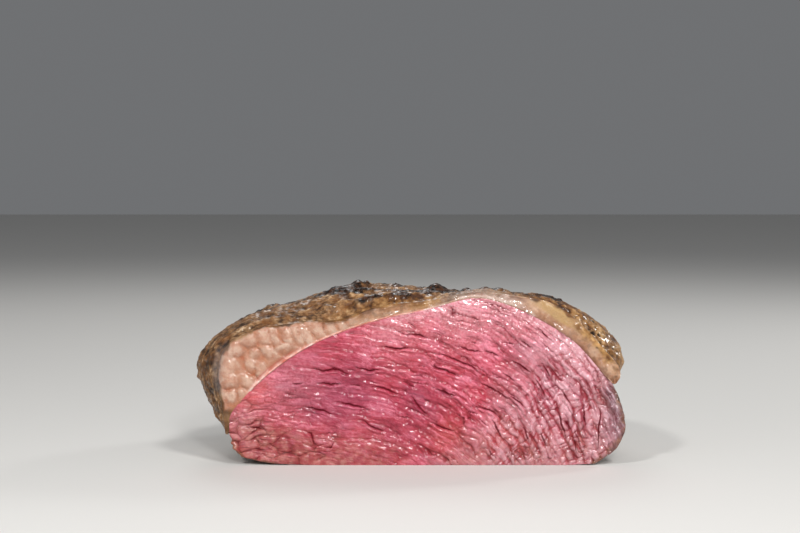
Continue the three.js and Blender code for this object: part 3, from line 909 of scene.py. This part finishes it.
def crust_relief(p, around_mm):
    """Height of lumps, small streaks, broken char and pits on the crust, and the fields that colour it."""
    x, depth = p[..., 0], p[..., 1]
    warp = ripple(around_mm, depth, 6, 91)
    streak = noise(around_mm / 3.6, 93, (depth + warp) / 1.7)
    streak += 0.7 * noise(around_mm / 1.7, 95, (depth + warp) / 0.9)
    char = char_share(p)
    gap, own, _ = cells(around_mm + 2 * warp, depth + warp, CRUST_BREAK, 77)
    broken = (0.5 + 0.4 * own) * pillow(gap, 0.4)
    gap, pit, _ = cells(around_mm, depth, CRUST_PIT, 99)
    gap = gap + 0.4 * ripple(around_mm, depth, 1.2, 31)
    pit = smooth(pit, 0.1, 0.7) * smooth(gap, 0.3, 0.7) * smooth(x, 30, 60)
    gap, own, _ = cells(around_mm + 2 * warp, depth + 2 * warp, CRUST_PEBBLE, 133)
    pebble = pillow(gap) * (0.7 + 0.3 * own)
    fibrous = fading(x, -30, 0)
    rough = layered(p + 30, 3.0)
    height = mix(0.55 * pebble + 0.2 * streak, 0.25 * streak + 0.3 * pebble, fibrous) + 0.45 * rough - 0.4
    height += char * (0.9 * broken - 0.2) - 0.8 * pit
    height = height + 0.2 * layered(p + 90, 1.5, 2) - 0.6 * smooth(x, 62, 78)
    level = mix(0.1 + 0.4 * pebble + 0.12 * streak, 0.3 + 0.2 * streak + 0.2 * pebble, fibrous) + 0.2 * rough
    return height * smooth(depth, 0, 2.0), {"char": char, "streak": level, "streaky": fibrous, "pit": pit}


def add_crust(surface, share, front_edge):
    """The outside of the fat cap, from behind the cut to the tip: vertex numbers and points."""
    around = np.linspace(0, 1, FAT_AROUND + 1)[None]
    p = fat_outside(around + 0 * share, share + 0 * around)
    padded = np.concatenate([front_edge, p])
    normal = unit(np.cross(np.gradient(padded, axis=0), np.gradient(padded, axis=1)))[1:]
    normal *= np.sign(np.sum(normal * (p - np.array(INSIDE_POINT)), axis=-1))[..., None]
    around_mm = CRUST_ARC * around + 0 * share
    height, fields = crust_relief(p, around_mm)
    fields["streak"] = fields["streak"] + 0.22 * smooth(around, *NEAR_END)
    x, depth = p[..., 0], p[..., 1]
    p = p + normal * (height * smooth(from_ends(around) * FAT_AROUND, 0, 8))[..., None]
    p[..., 1] += edge_drop(around) * fading(depth, 0, 6)
    golden = spots(x, depth, GOLDEN_CRUST) + 0.35 * smooth(depth, 20, 60)
    ids = surface.add(
        p,
        crust=1 - bare_end(around, depth),
        # A grey band on the crust beside the fat, on the left: partly wet grey crust, partly painted shade in
        # the crevice between them.
        grey=fading(x, -78, -70) * fading(depth, 1, 3.5) * smooth(p[..., 2], 26, 32),
        cloudy=spots(x, depth, CLOUDY_CRUST),
        gold=np.clip(golden, 0, 1),
        around_mm=around_mm, depth_mm=depth, **fields,
    )
    return ids, p


def add_lip(surface, low, high, around, crust):
    """A rounded end of the fat cap, where around is 0 on the left or 1 on the right."""
    low, high = low[:, None], high[:, None]
    thick = np.linalg.norm(high - low, axis=-1, keepdims=True)
    direction = in_space(along(lean_top, np.array([around])))
    sign = 1 if around else -1
    p = mix(low, high, LIP_STEPS) + direction * (sign * LIP_ROUNDING * thick * np.sin(np.pi * LIP_STEPS))
    return surface.add(p, crust=crust, streak=0.5, depth_mm=p[..., 1])


def make_fat():
    surface = Surface(FAT_FIELDS)
    share = row_share(np.arange(1, FAT_ROWS), FAT_ROWS)[:, None]
    front, front_points = fat_front(surface)
    outer, outside = add_crust(surface, share, front_points[-1:])
    around = np.linspace(0, 1, FAT_INNER + 1)[None]
    gap = SKIN_GAP * outward(lean_top, around)
    inside = lean_point(lean_top(around), share, gap + 0 * share[..., None])
    inner = surface.add(inside, crust=0.2, left=0.5, lobe=0.5)
    outside_tip = fat_outside(np.zeros(1), np.ones(1))
    inside_tip = lean_point(lean_top(np.zeros(1)), np.ones(1), gap[0, :1])
    outer_tip = surface.add(outside_tip, crust=1.0, streak=0.5)
    inner_tip = surface.add(inside_tip, crust=0.2)
    right = add_lip(surface, inside[:, -1], outside[:, -1], 1.0, LIP_CRUST["right"])
    left = add_lip(surface, inside[:, 0], outside[:, 0], 0.0, LIP_CRUST["left"])
    tip_line = surface.add(mix(inside_tip, outside_tip, LIP_STEPS[0]), crust=1.0, streak=0.5)
    loop = np.concatenate([outer, right[:, ::-1], inner[:, ::-1], left], axis=1)
    outer_tips, inner_tips = np.repeat(outer_tip, outer.shape[1]), np.repeat(inner_tip, inner.shape[1])
    loop = np.vstack([loop, np.concatenate([outer_tips, tip_line[::-1], inner_tips, tip_line])[None]])
    surface.quads(np.concatenate([loop, loop[:, :1]], axis=1))
    surface.quads(front)
    surface.quads(np.stack([front[-1], outer[0]]))
    surface.strip(front[::-1, -1], np.concatenate([outer[0, -1:], right[0, ::-1], inner[0, -1:]]))
    surface.strip(front[0, ::-1], inner[0, ::-1])
    surface.strip(front[:, 0], np.concatenate([inner[0, :1], left[0], outer[0, :1]]))
    return surface.build("fat_crust")


class Shader:
    """A node material with one Principled shader."""

    def __init__(self, name, **constants):
        self.material = bpy.data.materials.new(name)
        self.material.use_nodes = True
        self.tree = self.material.node_tree
        self.shader = self.tree.nodes["Principled BSDF"]
        for socket, value in constants.items():
            self.to(socket.replace("_", " "), value)
        metres = self.tree.nodes.new("ShaderNodeTexCoord").outputs["Object"]
        self.place = self.stretched(metres, (1 / MM, 1 / MM, 1 / MM))

    def node(self, kind, inputs, **settings):
        made = self.tree.nodes.new("ShaderNode" + kind)
        for name, value in settings.items():
            setattr(made, name, value)
        for socket, value in inputs.items():
            self.put(made.inputs[socket], value)
        return made

    def put(self, socket, value):
        """Links an output to a socket, or the mesh attribute of a name, or sets the socket to a value."""
        if isinstance(value, str):
            value = self.node("Attribute", {}, attribute_name=value).outputs["Fac"]
        if isinstance(value, bpy.types.NodeSocket):
            self.tree.links.new(value, socket)
        else:
            socket.default_value = value

    def to(self, socket, value):
        self.put(self.shader.inputs[socket], value)

    def vector(self, x, y):
        return self.node("CombineXYZ", {"X": x, "Y": y}).outputs["Vector"]

    def stretched(self, place, stretch):
        return self.node("Mapping", {"Vector": place, "Scale": stretch}).outputs["Vector"]

    def noise(self, size_mm, detail, place=None, stretch=None, distortion=0.0):
        """Noise of a size over the piece, or over a place given in millimetres."""
        place = place or self.place
        place = self.stretched(place, stretch) if stretch else place
        inputs = {"Vector": place, "Scale": 1 / size_mm, "Detail": detail, "Distortion": distortion}
        return self.node("TexNoise", inputs).outputs["Fac"]

    def maths(self, operation, first, *others, clamp=False):
        for other in others:
            made = self.node("Math", {0: first, 1: other}, operation=operation, use_clamp=clamp)
            first = made.outputs[0]
        return first

    def times(self, *factors):
        return self.maths("MULTIPLY", *factors)

    def ranged(self, value, low, high, to_low=0.0, to_high=1.0):
        inputs = {"Value": value, "From Min": low, "From Max": high, "To Min": to_low, "To Max": to_high}
        return self.node("MapRange", inputs).outputs["Result"]

    def mixed(self, share, a, b):
        return self.node("Mix", {"Factor": share, 6: a, 7: b}, data_type="RGBA").outputs[2]

    def tinted(self, colour, tints):
        """A colour with others laid over it in turn, each by its share."""
        for share, tint in tints:
            colour = self.mixed(share, colour, tint)
        return colour

    def ramp(self, value, *stops):
        """A colour for a value, from stops that each have a place and a colour as on a screen."""
        made = self.node("ValToRGB", {"Fac": value})
        elements = made.color_ramp.elements
        while len(elements) < len(stops):
            elements.new(0.5)
        for element, (place, *colour) in zip(elements, stops):
            element.position = place
            element.color = rgb(*colour)
        return made.outputs["Color"]

    def bump(self, height, distance_mm, strength, **under):
        inputs = {"Height": height, "Distance": distance_mm * MM, "Strength": strength, **under}
        return self.node("Bump", inputs).outputs["Normal"]


def rgb(red, green, blue):
    """A colour as it looks on a screen, from 0 to 255, in the linear values that shaders use."""
    values = np.array([red, green, blue]) / 255
    linear = np.where(values <= 0.04045, values / 12.92, ((values + 0.055) / 1.055) ** 2.4)
    return tuple(float(v) for v in linear) + (1.0,)


def flesh_colour(m, grain, streak, speck):
    """Pink flesh with painted shade between the fibres and a painted highlight on their tops and upper sides,
    with patches of other tints.
    """
    level = m.maths(
        "ADD", m.ranged("swell", 0.2, 1.0, 0.0, 0.6), m.ranged(streak, 0.3, 0.7, -0.22, 0.22),
        m.ranged(speck, 0.3, 0.7, -0.08, 0.1), m.ranged("tone", -1, 1, -0.22, 0.22),
    )
    flesh = m.ramp(level, (0.0, 96, 2, 20), (0.25, 130, 18, 38), (0.55, 162, 46, 66), (0.9, 214, 114, 134))
    pale = m.noise(4, 3, grain, (0.3, 1, 1))
    tan = m.ramp(m.noise(2.4, 5), (0.35, 120, 44, 42), (0.5, 144, 78, 68), (0.65, 170, 120, 106))
    ash = m.noise(1.7, 3, grain, (0.2, 1, 1))
    ash = m.ramp(ash, (0.36, 62, 24, 32), (0.5, 112, 72, 80), (0.64, 178, 152, 162))
    return m.tinted(flesh, [
        (m.ranged(m.noise(9, 3), 0.42, 0.62, 0, 0.35), rgb(188, 62, 74)),
        (m.ranged(pale, 0.5, 0.68, 0, 0.3), rgb(204, 126, 148)),
        (m.ranged(pale, 0.48, 0.34, 0, 0.5), rgb(120, 18, 36)),
        (m.times("purple", 0.45), rgb(128, 46, 76)),
        (m.times("coral", 0.6), rgb(200, 80, 66)),
        (m.times("pale", m.ranged(speck, 0.35, 0.65, 0.3, 0.85)), rgb(216, 158, 164)),
        # Nodules cream on their tops and deep red in their creases: a painted highlight and painted shade.
        (m.times("cobble", m.ranged("swell", 0.5, 1.05, 0.0, 0.62)), rgb(220, 180, 188)),
        (m.times("cobble", m.ranged("swell", 0.3, 0.6, 0.4, 0.0)), rgb(160, 26, 46)),
        (m.times("tan", 0.65), tan),
        (m.times("grey", 0.8), ash),
    ])


def lean_material():
    m = Shader(
        "lean_meat",
        Coat_Roughness=0.09, Specular_IOR_Level=0.2, Subsurface_Weight=0.1, Subsurface_Scale=0.0012,
        Subsurface_Radius=(1.0, 0.3, 0.25),
    )
    grain = m.vector("along", "across")
    streak = m.noise(0.9, 4, grain, (0.2, 1, 1), 0.4)
    # The crack field turns the flesh deep red in the cracks and creases, as painted shade, and makes them
    # rougher and less glossy there.
    crack_and_painted_shade = m.ranged("crack", 0.18, 0.65)
    flesh = m.mixed(m.times(crack_and_painted_shade, 0.92), flesh_colour(m, grain, streak, m.noise(0.9, 4)), rgb(92, 0, 16))
    seared = m.mixed(0.5, m.noise(4, 5), m.noise(1.1, 4))
    brown = m.ramp(seared, (0.34, 50, 28, 18), (0.5, 104, 68, 46), (0.66, 154, 114, 80))
    m.to("Base Color", m.mixed("brown", flesh, brown))
    wet = m.ranged(m.maths("ADD", "cobble", "pale"), 0, 1, 0.5, 1.0)
    m.to("Coat Weight", m.times(wet, m.ranged(crack_and_painted_shade, 0, 1, 1.0, 0.0)))
    dull = m.ranged(m.noise(2.2, 3), 0.35, 0.65, 0.3, 0.55)
    m.to("Roughness", m.maths("ADD", dull, m.times(crack_and_painted_shade, 0.45), clamp=True))
    rough = m.bump(m.times(m.noise(1.3, 3, grain, (0.5, 1, 1)), wet), 0.6, 1.0)
    m.to("Normal", m.bump(m.times(streak, wet), 0.4, 0.8, Normal=rough))
    return m.material


def fat_colour(m, mottle):
    """Peach lobes on the left and golden fat elsewhere, with the silverskin, a painted shadow along the seam,
    painted shade in the fold and a grey band that is partly painted shade.
    """
    # The lobe height sets the colour: creases darker and oranger, partly the fat's own tint and partly
    # painted shade, and tops paler.
    level = m.maths("ADD", "lobe", m.ranged(mottle, 0.3, 0.7, -0.3, 0.3))
    peach = m.ramp(level, (0, 160, 88, 58), (0.35, 163, 107, 78), (0.65, 169, 121, 98), (1, 190, 157, 137))
    peach = m.mixed(m.ranged(m.noise(7, 2), 0.4, 0.6, 0, 0.4), peach, rgb(178, 135, 112))
    soft = m.mixed(0.35, m.noise(6, 3), mottle)
    gold = m.ramp(soft, (0.35, 142, 96, 66), (0.5, 172, 130, 100), (0.65, 198, 164, 138))
    gold = m.mixed(m.times("gold", m.ranged(mottle, 0.46, 0.6, 0, 0.6)), gold, rgb(104, 66, 38))
    skin = m.ramp(m.noise(4, 3), (0.35, 194, 96, 84), (0.5, 220, 152, 142), (0.65, 244, 218, 210))
    return m.tinted(m.mixed("left", gold, peach), [
        (m.times("yellow", 0.9), rgb(174, 140, 92)),
        # Painted shadow along the seam.
        (m.times("seam", 0.9), rgb(98, 46, 34)),
        # Dark red in the fold above the silverskin: partly its own red, partly painted shade.
        (m.times("fold", 0.6), rgb(160, 62, 52)),
        ("skin", skin),
        ("cloudy", m.mixed(mottle, rgb(150, 112, 96), rgb(206, 184, 172))),
        # Grey band beside the crust edge on the left, partly painted shade.
        (m.times("grey", 0.6), rgb(132, 120, 114)),
    ])


def crust_colour(m, mottle, texture):
    """Browned crust, golden in places, with a grey band beside the fat that is partly painted shade, and
    cloudy, charred and pitted parts.
    """
    level = m.maths(
        "ADD", "streak", m.ranged(texture, 0.3, 0.7, -0.28, 0.28),
        m.ranged(m.noise(7, 3), 0.35, 0.65, -0.2, 0.2),
    )
    crust = m.ramp(level, (0.0, 44, 27, 16), (0.3, 90, 63, 40), (0.6, 136, 102, 70), (0.95, 192, 162, 130))
    return m.tinted(crust, [
        (m.ranged(m.noise(4, 3), 0.45, 0.65, 0, 0.5), rgb(128, 80, 40)),
        ("gold", m.ramp(level, (0.0, 62, 34, 16), (0.35, 116, 76, 38), (0.8, 180, 138, 88))),
        # Grey band beside the fat on the left, partly painted shade.
        (m.times("grey", 0.65), rgb(96, 92, 94)),
        (m.times("cloudy", 0.7), m.mixed(mottle, rgb(110, 84, 68), rgb(190, 168, 154))),
        ("char", m.ramp(m.noise(1.6, 4), (0.4, 12, 7, 4), (0.65, 76, 46, 28))),
        ("pit", rgb(24, 13, 7)),
    ])


def fat_material():
    m = Shader(
        "fat_crust",
        Coat_Roughness=0.08, Specular_IOR_Level=0.22, Subsurface_Weight=0.15, Subsurface_Scale=0.002,
        Subsurface_Radius=(1.0, 0.5, 0.3),
    )
    mottle = m.noise(2.4, 4)
    fine = m.noise(0.9, 4, m.vector("around_mm", "depth_mm"), (0.5, 1, 1), 0.5)
    texture = m.mixed("streaky", m.noise(2.2, 5), fine)
    m.to("Base Color", m.mixed("crust", fat_colour(m, mottle), crust_colour(m, mottle, texture)))
    oily = m.times(
        "crust", m.ranged(m.noise(1.8, 3), 0.48, 0.62, 0.0, 0.7), m.ranged("char", 0, 1, 1.0, 0.9),
        m.ranged("streaky", 0, 1, 1.4, 1.0),
    )
    m.to("Coat Weight", m.maths("ADD", oily, m.ranged("crust", 0, 1, 0.7, 0.0)))
    dull = m.times(m.ranged(m.noise(1.4, 3), 0.35, 0.65, 0.28, 0.8), m.ranged("char", 0, 1, 1.0, 0.6))
    m.to("Roughness", m.mixed("crust", m.ranged(m.noise(2.0, 3), 0.35, 0.65, 0.25, 0.5), dull))
    rough = m.bump(m.noise(0.8, 3), 0.3, 0.8)
    m.to("Normal", m.bump(m.times(texture, "crust"), 0.45, 0.7, Normal=rough))
    return m.material


def add_piece(piece, node, material):
    piece.data.materials.append(material)
    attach(piece, "root")
    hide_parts(node)


def make_floor():
    bpy.ops.mesh.primitive_plane_add(size=FLOOR_SIZE)
    floor = bpy.context.object
    floor.name = "floor"
    paint = Shader("floor", Base_Color=rgb(*FLOOR_COLOUR), Roughness=FLOOR_ROUGHNESS)
    floor.data.materials.append(paint.material)


def add_light(name, place, size, watts):
    data = bpy.data.lights.new(name, "AREA")
    data.shape, data.size, data.energy = "DISK", size, watts
    light = bpy.data.objects.new(name, data)
    light.location = place
    light.rotation_euler = (Vector(LIT_POINT) - Vector(place)).to_track_quat("-Z", "Y").to_euler()
    bpy.context.scene.collection.objects.link(light)


def make_sky():
    world = bpy.data.worlds.new("studio")
    world.use_nodes = True
    background = world.node_tree.nodes["Background"]
    background.inputs["Color"].default_value = SKY
    background.inputs["Strength"].default_value = SKY_STRENGTH
    bpy.context.scene.world = world


def make_camera():
    data = bpy.data.cameras.new("camera")
    data.lens, data.sensor_width = LENS, SENSOR
    camera = bpy.data.objects.new("camera", data)
    camera.location = CAMERA_PLACE
    camera.rotation_euler = Euler((math.radians(90 - CAMERA_TILT), 0, 0))
    bpy.context.scene.collection.objects.link(camera)
    bpy.context.scene.camera = camera


add_piece(make_lean(), "lean", lean_material())
add_piece(make_fat(), "fat_cap", fat_material())
make_floor()
for light in LIGHTS:
    add_light(*light)
make_sky()
make_camera()
bpy.context.scene.view_settings.view_transform = "Standard"
